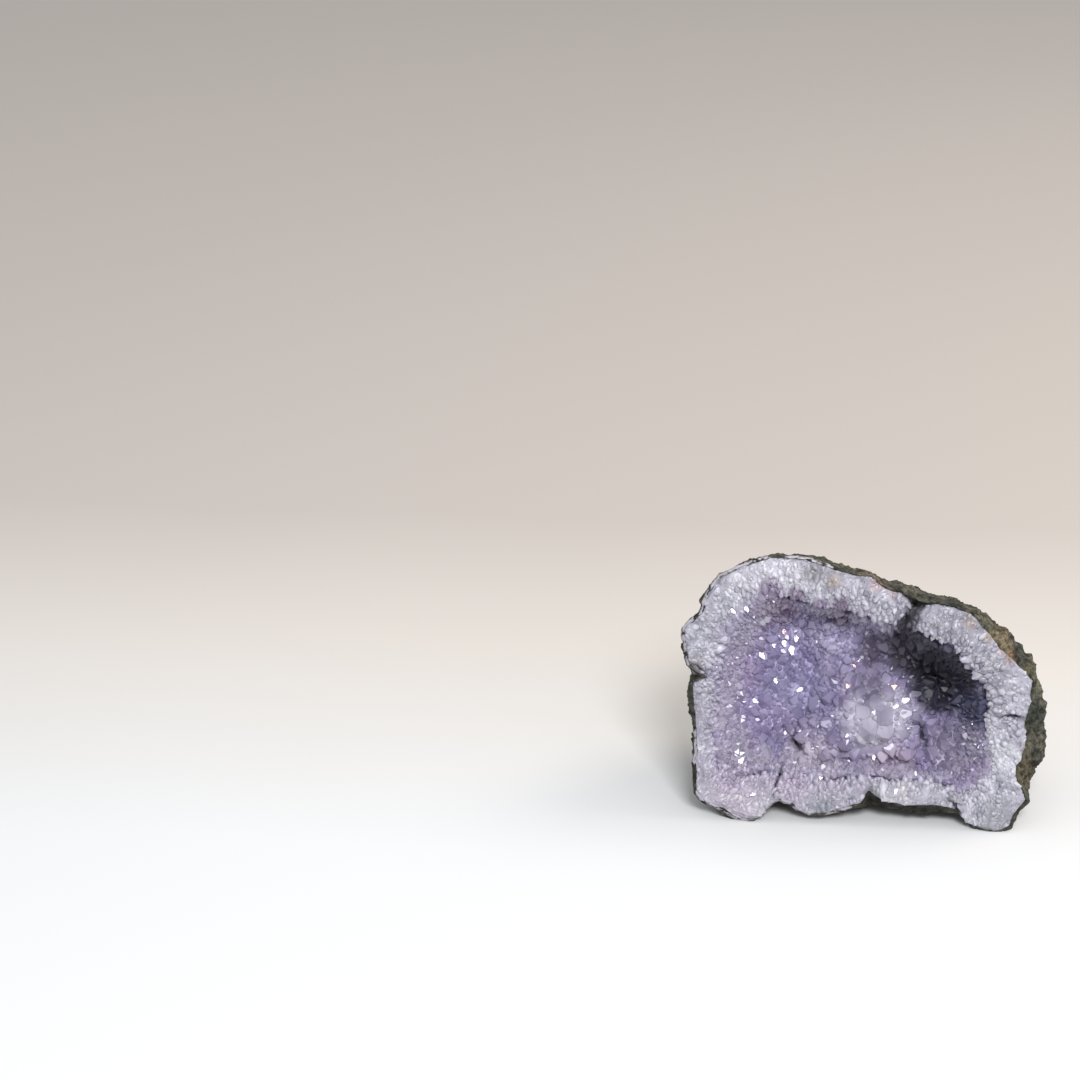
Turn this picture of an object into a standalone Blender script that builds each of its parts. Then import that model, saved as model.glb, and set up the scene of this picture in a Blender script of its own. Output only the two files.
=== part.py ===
"""Half of an amethyst geode, standing on two broken feet and a heel.

Three layers grew one on another, and each is a solid of its own:
    basalt_rind     the dark volcanic rock that held the gas bubble
    quartz_band     pale massive quartz, whose broken face is the pale rim
    amethyst_crust  the purple crystal points that line the hollow, grown together

The geode is laid out on its mouth plane: u runs right, v runs up along the mouth and w comes out
of it towards the viewer. Lengths in the tables are millimetres. Every layer is worked out on one
disc, whose centre is the deepest point of a wall and whose edge is the rim, so that walls that
face each other share their triangles and never touch. Each finished layer is then tilted back with
its mouth, +Z up and the hollow facing -Y, and the whole is worn flat where it stands.
"""

import math
import random

import bmesh
import bpy
import numpy as np
from mathutils import Matrix, Vector, geometry, noise

MM = 0.001
SEED = 7

# How the geode stands
TILT_DEG = 20.0  # the mouth leans back from upright
GROUND = -47.3  # v where the ground meets the mouth plane
CLEARANCE = 3.2  # between the ground and the underside
FOOT_WEAR = 0.8  # rock below the ground, worn flat
FOOT_SOFTNESS = 1.2  # over how many mm a wall bends away from the ground

# Where it rests, in world axes from the middle of the mouth: right, back, half width
FEET = ((-41.0, -13.0, 13.0), (48.0, -13.0, 13.0), (4.0, 34.0, 17.0))

# Walls, in mm behind the mouth plane at their deepest
BACK_DEPTH = 57.0
SEAM_DEPTH = 52.0
HOLLOW_DEPTH = 31.0
SEAM_GAP = 0.5  # between layers that face each other
SKIN = 3.0  # rock under the quartz
LINING = 2.2  # crust under the crystal points
RIM_LINING = 0.9  # where the crust ends on the pale band
OVERHANG = 0.3  # how far the rock may bulge past its rim, seen from the front

# How square each wall is: 2 is an ellipse
BACK_FULLNESS = 2.5
SEAM_FULLNESS = 2.35
HOLLOW_FULLNESS = 2.3

# Deepest points, as (u, v)
BACK_POLE = (3.0, -10.0)
HOLLOW_POLE = (-3.0, -1.0)

# The rim's parts, in mm behind the mouth plane
ROCK_EDGE = 0.3
BAND_EDGE = 1.0
BAND_SLOPE = 1.6  # how much deeper the band's inner edge lies
LIP_WIDTH = 0.3  # the rock's lip, as shares of how thick the rock shows
LIP_DEPTH = 0.15

# The band's broken face: loops across it, as shares from the rock to the crystals, then its rise
# in the middle, then how rough it is, as (mm, mm across)
BAND_LOOPS = (0.08, 0.36, 0.64, 0.90)
BAND_CROWN = 1.6
BAND_ROUGHNESS = ((1.6, 7.0), (1.4, 3.1))

# Relief of the rock's outside
LUMP_HEIGHT = 5.0
LUMP_SPAN = 21.0
PIT_HEIGHT = 2.4
PIT_SPAN = 9.0

# Grid steps on the disc, whose radius is 1
BACK_STEP = 0.080
SEAM_STEP = 0.17
BED_STEP = 0.12
CRYSTAL_STEP = 0.072
RIM_STEP = 5.0  # mm between points along the outline, at most
EVENNESS = 1.2  # 1 leaves the middle of the grid coarser than its edge
BACK_JITTER = 0.12  # how irregular a grid is, as a share of its step
CRYSTAL_JITTER = 0.30
RIM_JITTER = 0.010  # how far an added rim point is pushed, as a share of its reach

# Crystal points, in mm
POINT_HEIGHT = (1.5, 3.1)
POINT_LEAN = 0.55
TALL_SHARE = 0.15
TALL_PRISM = 1.1

# The rim, anticlockwise from the right wall: u and v of the outline, then how thick the rock
# shows there, then how wide the pale band is
RIM = (
    # right wall, where the rock is thick
    (64.5, -11.0, 8.5, 12.0),
    (64.0, -2.0, 6.0, 13.0),
    (60.5, 6.5, 2.0, 15.5),
    (58.0, 15.0, 7.0, 12.5),
    (52.0, 21.5, 7.0, 11.5),
    (45.0, 26.5, 5.0, 11.0),
    (38.5, 31.0, 3.0, 14.5),
    (33.0, 32.5, 2.5, 13.0),
    (25.5, 34.0, 2.5, 10.5),
    # the gap in the band
    (19.5, 35.5, 3.6, 6.9),
    # top, down to a skin of rock
    (12.5, 37.8, 2.6, 10.4),
    (4.8, 39.2, 1.2, 12.9),
    (1.0, 42.2, 1.2, 13.5),
    (-5.4, 42.6, 1.2, 12.6),
    (-9.0, 43.6, 1.5, 12.6),
    (-18.0, 46.0, 1.2, 16.2),
    (-26.0, 47.4, 1.2, 18.8),
    (-34.5, 47.4, 1.2, 16.7),
    (-42.5, 45.0, 1.5, 13.0),
    # left shoulder and the lobe that stands out above the notch
    (-49.0, 41.5, 1.5, 12.5),
    (-54.0, 38.0, 1.5, 13.0),
    (-58.0, 30.5, 1.5, 11.5),
    (-59.0, 26.5, 1.5, 10.5),
    (-63.0, 23.0, 1.5, 13.0),
    (-65.0, 18.0, 1.5, 13.5),
    (-63.5, 10.0, 1.5, 10.5),
    (-60.5, 5.5, 1.5, 7.0),
    # left notch and side
    (-57.5, 3.5, 1.5, 4.5),
    (-61.5, 1.5, 1.5, 7.5),
    (-61.0, -7.5, 1.5, 7.0),
    (-59.5, -18.5, 1.5, 6.5),
    (-59.5, -27.0, 1.5, 7.0),
    (-59.0, -34.5, 1.5, 9.0),
    # left foot
    (-56.5, -40.5, 1.5, 11.5),
    (-47.0, -45.5, 2.0, 20.0),
    (-38.0, -48.0, 2.6, 19.5),
    (-29.5, -39.5, 1.5, 9.5),
    # lobe in the middle
    (-21.5, -43.0, 1.5, 11.0),
    (-14.0, -44.5, 1.5, 11.5),
    (-6.0, -42.5, 1.5, 9.5),
    (0.0, -40.5, 1.5, 8.0),
    # broken back between the lobe and the right foot, where the rock shows below
    (3.5, -40.0, 5.5, 4.5),
    (9.0, -40.5, 2.5, 7.0),
    (22.0, -42.0, 3.5, 9.0),
    (34.2, -41.3, 2.6, 9.8),
    # right foot
    (40.5, -47.0, 2.6, 17.0),
    (50.0, -48.4, 2.4, 19.0),
    (53.3, -45.6, 1.5, 18.5),
    (54.7, -41.5, 1.5, 16.5),
    (59.0, -36.5, 2.0, 14.0),
    (59.5, -31.5, 6.5, 10.0),
    (61.5, -27.0, 8.5, 10.5),
    (65.0, -19.5, 9.0, 13.5),
)

# Places where the band is broken back: angle on the rim, half width, mm lost
RIM_BREAKS = ((61.6, 5.0, 11.0), (176.5, 3.0, 3.0), (275.0, 4.0, 3.0))

# Hollows and swellings of the quartz under the crystals: u, v, half width, mm deeper
BED_RELIEF = ((29.0, 5.0, 13.0, 17.0), (-8.0, 17.0, 9.0, -6.0), (-32.0, -16.0, 10.0, 3.0))

# Bosses of crystal that stand out of the lining: u, v, half width across, half height, mm out
BOSSES = (
    (4.0, -8.0, 16.5, 13.0, 19.0),
    (-14.0, -20.0, 8.0, 7.0, 8.0),
    (24.0, -22.0, 9.0, 7.0, 6.0),
)

# Swellings of the rock's outside: u, v, mm deep, half width, mm out
SWELLINGS = (
    (4.0, -27.0, 48.0, 18.0, 6.0),
    (36.0, 6.0, 40.0, 16.0, 4.0),
    (-36.0, 12.0, 40.0, 14.0, 3.5),
)

# Finishes: base colour, roughness
FINISHES = {
    "basalt_rind": ((0.075, 0.070, 0.050), 0.92),
    "quartz_band": ((0.560, 0.530, 0.600), 0.55),
    "amethyst_crust": ((0.290, 0.215, 0.420), 0.22),
}


def clear_scene():
    for obj in list(bpy.data.objects):
        bpy.data.objects.remove(obj)


def refined_rim():
    """The rim with a point added in each long side, on a smooth curve and pushed a little off."""
    chance = random.Random(SEED)
    table = np.array(RIM)
    stations = []
    for i, here in enumerate(table):
        before, there, after = table[i - 1], table[(i + 1) % len(RIM)], table[(i + 2) % len(RIM)]
        stations.append(here)
        if math.dist(here[:2], there[:2]) > RIM_STEP:
            middle = (9 * (here + there) - before - after) / 16
            middle[2:] = (here[2:] + there[2:]) / 2
            middle[:2] *= 1 + chance.uniform(-RIM_JITTER, RIM_JITTER)
            stations.append(middle)
    return np.array(stations)


def smoothed(values, angles, window_deg=24.0):
    """Each value averaged with its neighbours round the rim."""
    turn = (angles[:, None] - angles[None, :] + math.pi) % (2 * math.pi) - math.pi
    weight = np.exp(-((np.degrees(turn) / window_deg) ** 2))
    return weight @ values / weight.sum(axis=1)


STATIONS = refined_rim()
RIM_ANGLES = np.unwrap(np.arctan2(STATIONS[:, 1], STATIONS[:, 0]))
OUTLINE = np.hypot(STATIONS[:, 0], STATIONS[:, 1])
ROCK = STATIONS[:, 2]
SEAM_RIM = OUTLINE - ROCK
OPENING = SEAM_RIM - STATIONS[:, 3]


def round_rim(values, angle):
    return float(np.interp(angle, RIM_ANGLES, values, period=2 * math.pi))


def stand_up_matrix():
    """From the mouth plane to the world, whose origin stays in the middle of the mouth."""
    tilt = math.radians(TILT_DEG)
    right = Vector((1.0, 0.0, 0.0))
    up = Vector((0.0, math.sin(tilt), math.cos(tilt)))
    out = Vector((0.0, -math.cos(tilt), math.sin(tilt)))
    return Matrix((right, up, out)).transposed()


STAND_UP = stand_up_matrix()
GROUND_Z = GROUND * math.cos(math.radians(TILT_DEG))


def raised(place, margin, share):
    """The place lifted, as far as it needs, to clear the ground everywhere but at the feet."""
    stood = STAND_UP @ place
    foot = max(
        math.exp(-(((stood.x - x) / width) ** 2) - ((stood.y - y) / width) ** 2)
        for x, y, width in FEET
    )
    floor = GROUND_Z + CLEARANCE * (1 - foot) - FOOT_WEAR * foot + margin
    clear_by = (stood.z - floor) / FOOT_SOFTNESS
    if clear_by > 8:
        return place
    lift = FOOT_SOFTNESS * (math.log1p(math.exp(clear_by)) - clear_by)
    return place + STAND_UP.transposed() @ Vector((0.0, 0.0, lift * share))


class Wall:
    """A bowl that starts on a rim. Its points are asked for by their place on the unit disc."""

    def __init__(self, rim, rim_depth, pole, depth, fullness):
        self.rim = rim
        self.soft_rim = smoothed(rim, RIM_ANGLES)
        self.rim_depth = rim_depth
        self.pole = pole
        self.depth = depth
        self.power = 2 / fullness

    def point(self, x, y):
        r = min(math.hypot(x, y), 1.0)
        angle = math.atan2(y, x)
        turn = (1 - r**EVENNESS) * math.pi / 2
        spread = math.cos(turn) ** self.power
        sink = math.sin(turn) ** self.power
        crisp = r**6
        reach = crisp * round_rim(self.rim, angle) + (1 - crisp) * round_rim(self.soft_rim, angle)
        u = self.pole[0] * (1 - spread) + reach * spread * math.cos(angle)
        v = self.pole[1] * (1 - spread) + reach * spread * math.sin(angle)
        edge = round_rim(self.rim_depth, angle)
        return Vector((u, v, -(edge * (1 - sink) + self.depth * sink)))

    def normal(self, x, y):
        """Towards the hollow."""
        step = 0.04
        pull = 1 - 1.5 * step
        x, y = x * pull, y * pull
        along_x = self.point(x + step, y) - self.point(x - step, y)
        along_y = self.point(x, y + step) - self.point(x, y - step)
        return along_x.cross(along_y).normalized()


def rim_break(angle_deg):
    """How far the band is broken back behind the mouth plane at this angle."""
    lost = 0.0
    for centre, half_width, depth in RIM_BREAKS:
        away = (angle_deg - centre + 180) % 360 - 180
        lost += depth * math.exp(-((away / half_width) ** 2))
    return lost


BREAKS = np.array([rim_break(math.degrees(angle)) for angle in RIM_ANGLES])


def swell(u, v, centre_u, centre_v, width, height):
    return math.exp(-(((u - centre_u) / width) ** 2) - ((v - centre_v) / height) ** 2)


class Seam(Wall):
    """The inside of the rock, which keeps a skin of it between the quartz and the ground."""

    def point(self, x, y):
        return raised(super().point(x, y), SKIN, 1 - min(math.hypot(x, y), 1.0) ** 10)


class Bed(Wall):
    """The inside of the quartz, with the hollows and swellings that the crystals grew on."""

    def point(self, x, y):
        place = super().point(x, y)
        inside = 1 - min(math.hypot(x, y), 1.0) ** 4
        for u, v, width, deeper in BED_RELIEF:
            place.z -= deeper * inside * swell(place.x, place.y, u, v, width, width)
        return place


class Back(Wall):
    """The outside of the rock, with its lumps and pits."""

    centre = Vector((0.0, 0.0, -18.0))

    def point(self, x, y):
        place = super().point(x, y)
        r = min(math.hypot(x, y), 1.0)
        lump = noise.noise(place / LUMP_SPAN)
        pit = noise.noise(place / PIT_SPAN + Vector((9.0, 4.0, 2.0)))
        out = LUMP_HEIGHT * lump + PIT_HEIGHT * pit
        for u, v, depth, width, height in SWELLINGS:
            away = (place - Vector((u, v, -depth))).length / width
            out += height * math.exp(-(away**2))
        place += (place - self.centre).normalized() * out * (1 - r**3)
        return raised(self.behind_rim(place), 0.9 * pit, 1 - r**12)

    def behind_rim(self, place):
        """The place, drawn in where it would show outside the rim from the front."""
        reach = math.hypot(place.x, place.y)
        most = round_rim(self.rim, math.atan2(place.y, place.x)) + OVERHANG
        if reach <= most:
            return place
        return Vector((place.x * most / reach, place.y * most / reach, place.z))


BACK = Back(OUTLINE, ROCK + ROCK_EDGE, BACK_POLE, BACK_DEPTH, BACK_FULLNESS)
SEAM = Seam(SEAM_RIM, BREAKS + BAND_EDGE, BACK_POLE, SEAM_DEPTH, SEAM_FULLNESS)
BED = Bed(OPENING, BREAKS + BAND_EDGE + BAND_SLOPE, HOLLOW_POLE, HOLLOW_DEPTH, HOLLOW_FULLNESS)


def disc(step, jitter=0.0):
    """(points, triangles) of the unit disc. The rim's points come first, in their order."""
    chance = random.Random(SEED)
    points = [Vector((math.cos(a), math.sin(a))) for a in RIM_ANGLES]
    rim_edges = [(i, (i + 1) % len(points)) for i in range(len(points))]
    rows = int(1 / step) + 1
    for row in range(-rows, rows + 1):
        shift = 0.5 * (row % 2)
        for column in range(-rows, rows + 1):
            across = (column + shift) * step + chance.uniform(-1, 1) * jitter * step
            up = row * step * math.sqrt(3) / 2 + chance.uniform(-1, 1) * jitter * step
            if math.hypot(across, up) < 1 - 0.55 * step:
                points.append(Vector((across, up)))
    made = geometry.delaunay_2d_cdt(points, rim_edges, [], 0, 1e-6)
    return [tuple(p) for p in made[0]], [tuple(t) for t in made[2]]


def laid(bm, grid, place):
    """The disc's triangles with each point put in its place. Returns the vertices on the rim."""
    points, triangles = grid
    verts = [bm.verts.new(place(x, y)) for x, y in points]
    for triangle in triangles:
        bm.faces.new([verts[i] for i in triangle])
    return verts[: len(RIM_ANGLES)]


def ring(bm, reach, depth):
    """A loop of points round the rim."""
    return [
        bm.verts.new((r * math.cos(a), r * math.sin(a), -d))
        for a, r, d in zip(RIM_ANGLES, reach, depth)
    ]


def bridged(bm, *loops):
    """Strips of faces from each loop to the next."""
    for low, high in zip(loops, loops[1:]):
        for i in range(len(low)):
            j = (i + 1) % len(low)
            bm.faces.new((low[i], low[j], high[j], high[i]))


def broken_face(bm):
    """Loops across the pale band, from the rock to the crystals, with a rough broken surface."""
    loops = []
    for share in BAND_LOOPS:
        reach = SEAM_RIM * (1 - share) + OPENING * share
        depth = []
        for angle, r, lost in zip(RIM_ANGLES, reach, BREAKS):
            spot = Vector((r * math.cos(angle), r * math.sin(angle), 0.0))
            rough = sum(height * noise.noise(spot / span) for height, span in BAND_ROUGHNESS)
            crown = BAND_CROWN * math.sin(math.pi * share)
            depth.append(lost + BAND_EDGE + BAND_SLOPE * share - crown - rough)
        loops.append(ring(bm, reach, depth))
    return loops


def finished(bm, name):
    """Closes the layer: one skin, facing out, stood up on its feet, as an object of its own."""
    bmesh.ops.triangulate(bm, faces=[f for f in bm.faces if len(f.verts) > 3])
    bmesh.ops.recalc_face_normals(bm, faces=bm.faces)
    bmesh.ops.transform(bm, matrix=STAND_UP.to_4x4() @ Matrix.Scale(MM, 4), verts=bm.verts)
    mesh = bpy.data.meshes.new(name)
    bm.to_mesh(mesh)
    bm.free()
    obj = bpy.data.objects.new(name, mesh)
    bpy.context.scene.collection.objects.link(obj)
    obj.data.materials.append(finish(name))
    return obj


def finish(name):
    colour, roughness = FINISHES[name]
    material = bpy.data.materials.new(name)
    material.use_nodes = True
    shader = material.node_tree.nodes["Principled BSDF"]
    shader.inputs["Base Color"].default_value = (*colour, 1.0)
    shader.inputs["Roughness"].default_value = roughness
    shader.inputs["Metallic"].default_value = 0.0
    return material


def basalt_rind():
    bm = bmesh.new()
    back_rim = laid(bm, disc(BACK_STEP, BACK_JITTER), BACK.point)
    lip = ring(bm, SEAM_RIM + LIP_WIDTH * ROCK, LIP_DEPTH * ROCK)
    seam_rim = laid(bm, disc(SEAM_STEP), SEAM.point)
    bridged(bm, back_rim, lip, seam_rim)
    return finished(bm, "basalt_rind")


def off_the_wall(wall):
    """The wall moved towards the hollow by the gap between two layers."""
    return lambda x, y: wall.point(x, y) + wall.normal(x, y) * SEAM_GAP


def quartz_band():
    bm = bmesh.new()
    seam_rim = laid(bm, disc(SEAM_STEP), off_the_wall(SEAM))
    face = broken_face(bm)
    bed_rim = laid(bm, disc(BED_STEP), BED.point)
    bridged(bm, seam_rim, *face, bed_rim)
    return finished(bm, "quartz_band")


def crust_surface(x, y):
    """The bottom of the crystal points."""
    place = BED.point(x, y)
    inside = 1 - min(math.hypot(x, y), 1.0) ** 6
    lining = RIM_LINING * (1 - inside) + LINING * inside
    place += BED.normal(x, y) * (lining + SEAM_GAP)
    for u, v, width, height, out in BOSSES:
        away = math.hypot((place.x - u) / width, (place.y - v) / height)
        place.z += out * inside / (1 + away**6)
    return place


def cells(bm, grid):
    """The disc cut into many-sided cells, one for each crystal. Returns rim vertices and cells."""
    points, triangles = grid
    rim_count = len(RIM_ANGLES)
    rim = [bm.verts.new(crust_surface(x, y)) for x, y in points[:rim_count]]
    corners, around = [], [[] for _ in points]
    for triangle in triangles:
        x, y = (sum(points[i][axis] for i in triangle) / 3 for axis in (0, 1))
        corners.append((bm.verts.new(crust_surface(x, y)), x, y))
        for i in triangle:
            around[i].append(corners[-1])
    made = []
    for i, (x, y) in enumerate(points):
        # A rim point's own cell opens outwards, so its corners are counted from that side
        start = math.atan2(y, x) if i < rim_count else -math.pi
        around[i].sort(key=lambda c: (math.atan2(c[2] - y, c[1] - x) - start) % (2 * math.pi))
        loop = [corner[0] for corner in around[i]]
        if i < rim_count:
            loop.append(rim[i])
        if len(loop) > 2:
            face = bm.faces.new(loop)
            if i >= rim_count:
                made.append(face)
    for triangle in triangles:
        on_rim = [i for i in triangle if i < rim_count]
        if len(on_rim) == 2:
            corner = corners[triangles.index(triangle)][0]
            bm.faces.new((rim[on_rim[0]], rim[on_rim[1]], corner))
    return rim, made


def grow_points(bm, made):
    """Raises each cell to a crystal's point. Some stand on a short prism first."""
    chance = random.Random(SEED + 1)
    bmesh.ops.recalc_face_normals(bm, faces=bm.faces)
    tall = [face for face in made if chance.random() < TALL_SHARE]
    bmesh.ops.inset_individual(bm, faces=tall, thickness=0.25, depth=TALL_PRISM)
    tips = bmesh.ops.poke(bm, faces=made)["verts"]
    for tip in tips:
        out = sum((face.normal for face in tip.link_faces), Vector()).normalized()
        lean = Vector([chance.uniform(-1, 1) for _ in range(3)]) * POINT_LEAN
        width = sum(edge.calc_length() for edge in tip.link_edges) / len(tip.link_edges)
        height = min(chance.uniform(*POINT_HEIGHT), 1.5 * width)
        tip.co += out * height + (lean - lean.project(out)) * width * 0.6


def amethyst_crust():
    bm = bmesh.new()
    front_rim, made = cells(bm, disc(CRYSTAL_STEP, CRYSTAL_JITTER))
    back_rim = laid(bm, disc(BED_STEP), off_the_wall(BED))
    bridged(bm, front_rim, back_rim)
    grow_points(bm, made)
    return finished(bm, "amethyst_crust")


def set_down(layers):
    """Wears the feet and the heel flat, and puts the origin under the middle of the geode."""
    rock = layers[0]
    ground = Vector((0.0, 0.0, GROUND_Z * MM))
    bm = bmesh.new()
    bm.from_mesh(rock.data)
    everything = bm.verts[:] + bm.edges[:] + bm.faces[:]
    cut = bmesh.ops.bisect_plane(
        bm, geom=everything, plane_co=ground, plane_no=(0, 0, 1), clear_inner=True
    )
    worn = [edge for edge in cut["geom_cut"] if isinstance(edge, bmesh.types.BMEdge)]
    flats = bmesh.ops.holes_fill(bm, edges=worn)["faces"]
    bmesh.ops.triangulate(bm, faces=flats)
    bm.to_mesh(rock.data)
    bm.free()
    corners = [v.co for layer in layers for v in layer.data.vertices]
    low = [min(c[axis] for c in corners) for axis in range(3)]
    high = [max(c[axis] for c in corners) for axis in range(3)]
    middle = Vector(((low[0] + high[0]) / 2, (low[1] + high[1]) / 2, low[2]))
    for layer in layers:
        layer.data.transform(Matrix.Translation(-middle))


def main():
    clear_scene()
    layers = [basalt_rind(), quartz_band(), amethyst_crust()]
    set_down(layers)


main()
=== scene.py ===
# %% [markdown]
# # Half of an amethyst geode
# A gas bubble in basalt was lined first with milky quartz and then with amethyst. The nodule has
# broken in two, and this half stands on its broken edge with the hollow towards us. This lesson
# dresses its three layers: the rough rock outside, the pale broken rim, and the purple points.
#
# The CAD solids load as a fixed frame. They hold the size and the main shapes, and every piece
# made here stays inside the box that they fill.

# %% Load the frame
import math
import random

import bmesh
import bpy
import numpy as np
from mathutils import Matrix, Vector, bvhtree, kdtree, noise


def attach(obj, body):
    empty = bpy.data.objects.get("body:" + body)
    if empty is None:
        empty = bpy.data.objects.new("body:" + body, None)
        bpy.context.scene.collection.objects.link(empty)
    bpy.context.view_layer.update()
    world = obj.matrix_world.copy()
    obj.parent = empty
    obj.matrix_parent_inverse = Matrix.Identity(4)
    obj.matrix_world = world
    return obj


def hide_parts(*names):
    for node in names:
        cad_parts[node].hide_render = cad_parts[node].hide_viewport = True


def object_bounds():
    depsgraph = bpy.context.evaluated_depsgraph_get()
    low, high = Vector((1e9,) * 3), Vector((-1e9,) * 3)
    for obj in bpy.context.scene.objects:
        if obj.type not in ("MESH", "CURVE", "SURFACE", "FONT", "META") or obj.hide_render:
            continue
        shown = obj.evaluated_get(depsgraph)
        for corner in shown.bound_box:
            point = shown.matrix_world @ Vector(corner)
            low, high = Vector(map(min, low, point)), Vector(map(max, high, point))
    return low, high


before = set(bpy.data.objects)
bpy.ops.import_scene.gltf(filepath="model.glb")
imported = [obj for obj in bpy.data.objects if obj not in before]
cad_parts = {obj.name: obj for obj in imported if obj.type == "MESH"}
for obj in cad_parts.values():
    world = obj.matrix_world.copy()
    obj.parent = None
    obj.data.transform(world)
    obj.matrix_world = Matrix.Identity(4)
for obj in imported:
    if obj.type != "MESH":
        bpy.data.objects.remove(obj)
cad_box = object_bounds()
MM = 0.001
print("nodes:", sorted(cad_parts))
print("CAD box in mm:", [[round(c / MM, 1) for c in corner] for corner in cad_box])

# %% [markdown]
# The mouth of the geode is nearly flat and leans back. Most choices below are made from where a
# point lies in the mouth: u to the right, v up along the mouth, and w out of it.

# %% Mouth coordinates
LEAN = math.radians(20)
MOUTH = Vector((-0.13, -21.20, 44.45)) * MM  # middle of the mouth plane
RIGHT = Vector((1.0, 0.0, 0.0))
UP = Vector((0.0, math.sin(LEAN), math.cos(LEAN)))
OUT = Vector((0.0, -math.cos(LEAN), math.sin(LEAN)))


def in_mouth(place):
    """(u, v, w) in millimetres."""
    away = (Vector(place) - MOUTH) / MM
    return away.dot(RIGHT), away.dot(UP), away.dot(OUT)


def from_mouth(u, v, w):
    return MOUTH + (RIGHT * u + UP * v + OUT * w) * MM


middle = (Vector(cad_box[0]) + Vector(cad_box[1])) / 2
print("middle of the box at u, v, w:", [round(c, 1) for c in in_mouth(middle)])

# %% [markdown]
# The camera stands where the photographer stood: 0.92 m off, looking 22 degrees down, a little
# to the left of the geode. The lens is long, so the outline shows almost without perspective.

# %% Camera
PICTURE_WIDTH = 1080.0
FOCAL_LENGTH = 2600.0  # in pixels of that picture
LOOKING_DOWN = 22.0  # degrees
TURNED_LEFT = 4.839  # degrees
camera = bpy.data.objects.new("camera", bpy.data.cameras.new("camera"))
camera.data.sensor_width = 36.0
camera.data.lens = camera.data.sensor_width * FOCAL_LENGTH / PICTURE_WIDTH
camera.data.clip_start = 0.01
camera.data.clip_end = 20.0
camera.location = MOUTH + Vector((-43.7, -833.8, 392.2)) * MM
camera.rotation_euler = (math.radians(90 - LOOKING_DOWN), 0.0, math.radians(TURNED_LEFT))
bpy.context.scene.collection.objects.link(camera)
bpy.context.scene.camera = camera
print("from the camera to the mouth:", round((camera.location - MOUTH).length / MM), "mm")

# %% [markdown]
# A studio for small stones. The room is light all round. A cool window in front and above lights
# the mouth and is what the glassy faces mirror. A broad warm lamp behind, to the right, throws
# the soft shadow towards us and to the left, and a tiny amber lamp gives a few warm glints.
# Colours are written as they are seen on a screen, and one function turns them to the linear
# values that a renderer adds up.

# %% Lights


def linear(hex_colour):
    """'#B9B3C4' as linear red, green, blue and alpha."""
    parts = [int(hex_colour[i : i + 2], 16) / 255 for i in (1, 3, 5)]
    return tuple(c / 12.92 if c <= 0.04045 else ((c + 0.055) / 1.055) ** 2.4 for c in parts) + (1.0,)


def lamp(name, place, size, power, colour):
    """A square lamp that faces the geode, with its size in metres and its power in watts."""
    light = bpy.data.lights.new(name, "AREA")
    light.size = size
    light.energy = power
    light.color = linear(colour)[:3]
    holder = bpy.data.objects.new(name, light)
    holder.location = place
    holder.rotation_euler = (MOUTH - place).to_track_quat("-Z", "Y").to_euler()
    bpy.context.scene.collection.objects.link(holder)
    print(name, "stands", round((MOUTH - place).length, 2), "m from the mouth")


WINDOW = MOUTH + Vector((0.25, -1.05, 1.0))
AMBER = MOUTH + Vector((0.85, -0.75, 0.75))
lamp("window", WINDOW, 0.5, 21.0, "#FAFBFF")
lamp("warm_lamp", MOUTH + Vector((1.0, 0.55, 1.1)), 0.7, 10.0, "#FFF1E2")
lamp("amber_lamp", AMBER, 0.045, 0.35, "#FFB084")
room = bpy.data.worlds.new("room")
bpy.context.scene.world = room
room.use_nodes = True
room.node_tree.nodes["Background"].inputs["Color"].default_value = linear("#F4F4F6")
room.node_tree.nodes["Background"].inputs["Strength"].default_value = 0.82
bpy.context.scene.view_settings.view_transform = "Standard"

# %% [markdown]
# Materials are built from nodes. One function adds a node with its settings and links and hands
# back one of its outputs. All patterns read mouth coordinates in millimetres, made from Object
# coordinates, so a noise with a scale of 1 / 12 has patches about 12 mm wide.

# %% Adding nodes


def node(tree, kind, inputs, out=0, stops=(), **settings):
    """Adds a node. Each input is a value, a hex colour or an output to link from."""
    made = tree.nodes.new("ShaderNode" + kind)
    for name, value in settings.items():
        setattr(made, name, value)
    for key, value in inputs.items():
        if isinstance(value, bpy.types.NodeSocket):
            tree.links.new(value, made.inputs[key])
        else:
            made.inputs[key].default_value = linear(value) if isinstance(value, str) else value
    for i, (position, colour) in enumerate(stops):
        elements = made.color_ramp.elements
        element = elements[i] if i < 2 else elements.new(position)
        element.position = position
        element.color = linear(colour)
    return made.outputs[out]


def mouth_coordinates(tree):
    """u, v and w in millimetres."""
    place = node(tree, "TexCoord", {}, out="Object")
    turn = (math.radians(90) - LEAN, 0.0, 0.0)
    inputs = {"Vector": place, "Location": MOUTH, "Rotation": turn, "Scale": (MM, MM, MM)}
    return node(tree, "Mapping", inputs, vector_type="TEXTURE")


def new_material(name):
    """The material, its tree, its shader and the mouth coordinates."""
    material = bpy.data.materials.new(name)
    material.use_nodes = True
    tree = material.node_tree
    print("material", name)
    return material, tree, tree.nodes["Principled BSDF"], mouth_coordinates(tree)


# %% [markdown]
# The colours of a geode drift from place to place, and each stain has its own cause. So soft
# patches are painted over a colour, each at its place in the mouth. A picture could do this too,
# but patches stay sharp at any size. Noise pushes them about, so that none looks round.

# %% Patches of colour


def spot(tree, flat, u, v, inner, outer):
    """1 within inner millimetres of a place in the mouth, falling to 0 at outer."""
    away = node(tree, "VectorMath", {0: flat, 1: (u, v, 0)}, "Value", operation="DISTANCE")
    ranges = {"Value": away, "From Min": inner, "From Max": outer, "To Min": 1.0, "To Max": 0.0}
    return node(tree, "MapRange", ranges, interpolation_type="SMOOTHSTEP")


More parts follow.
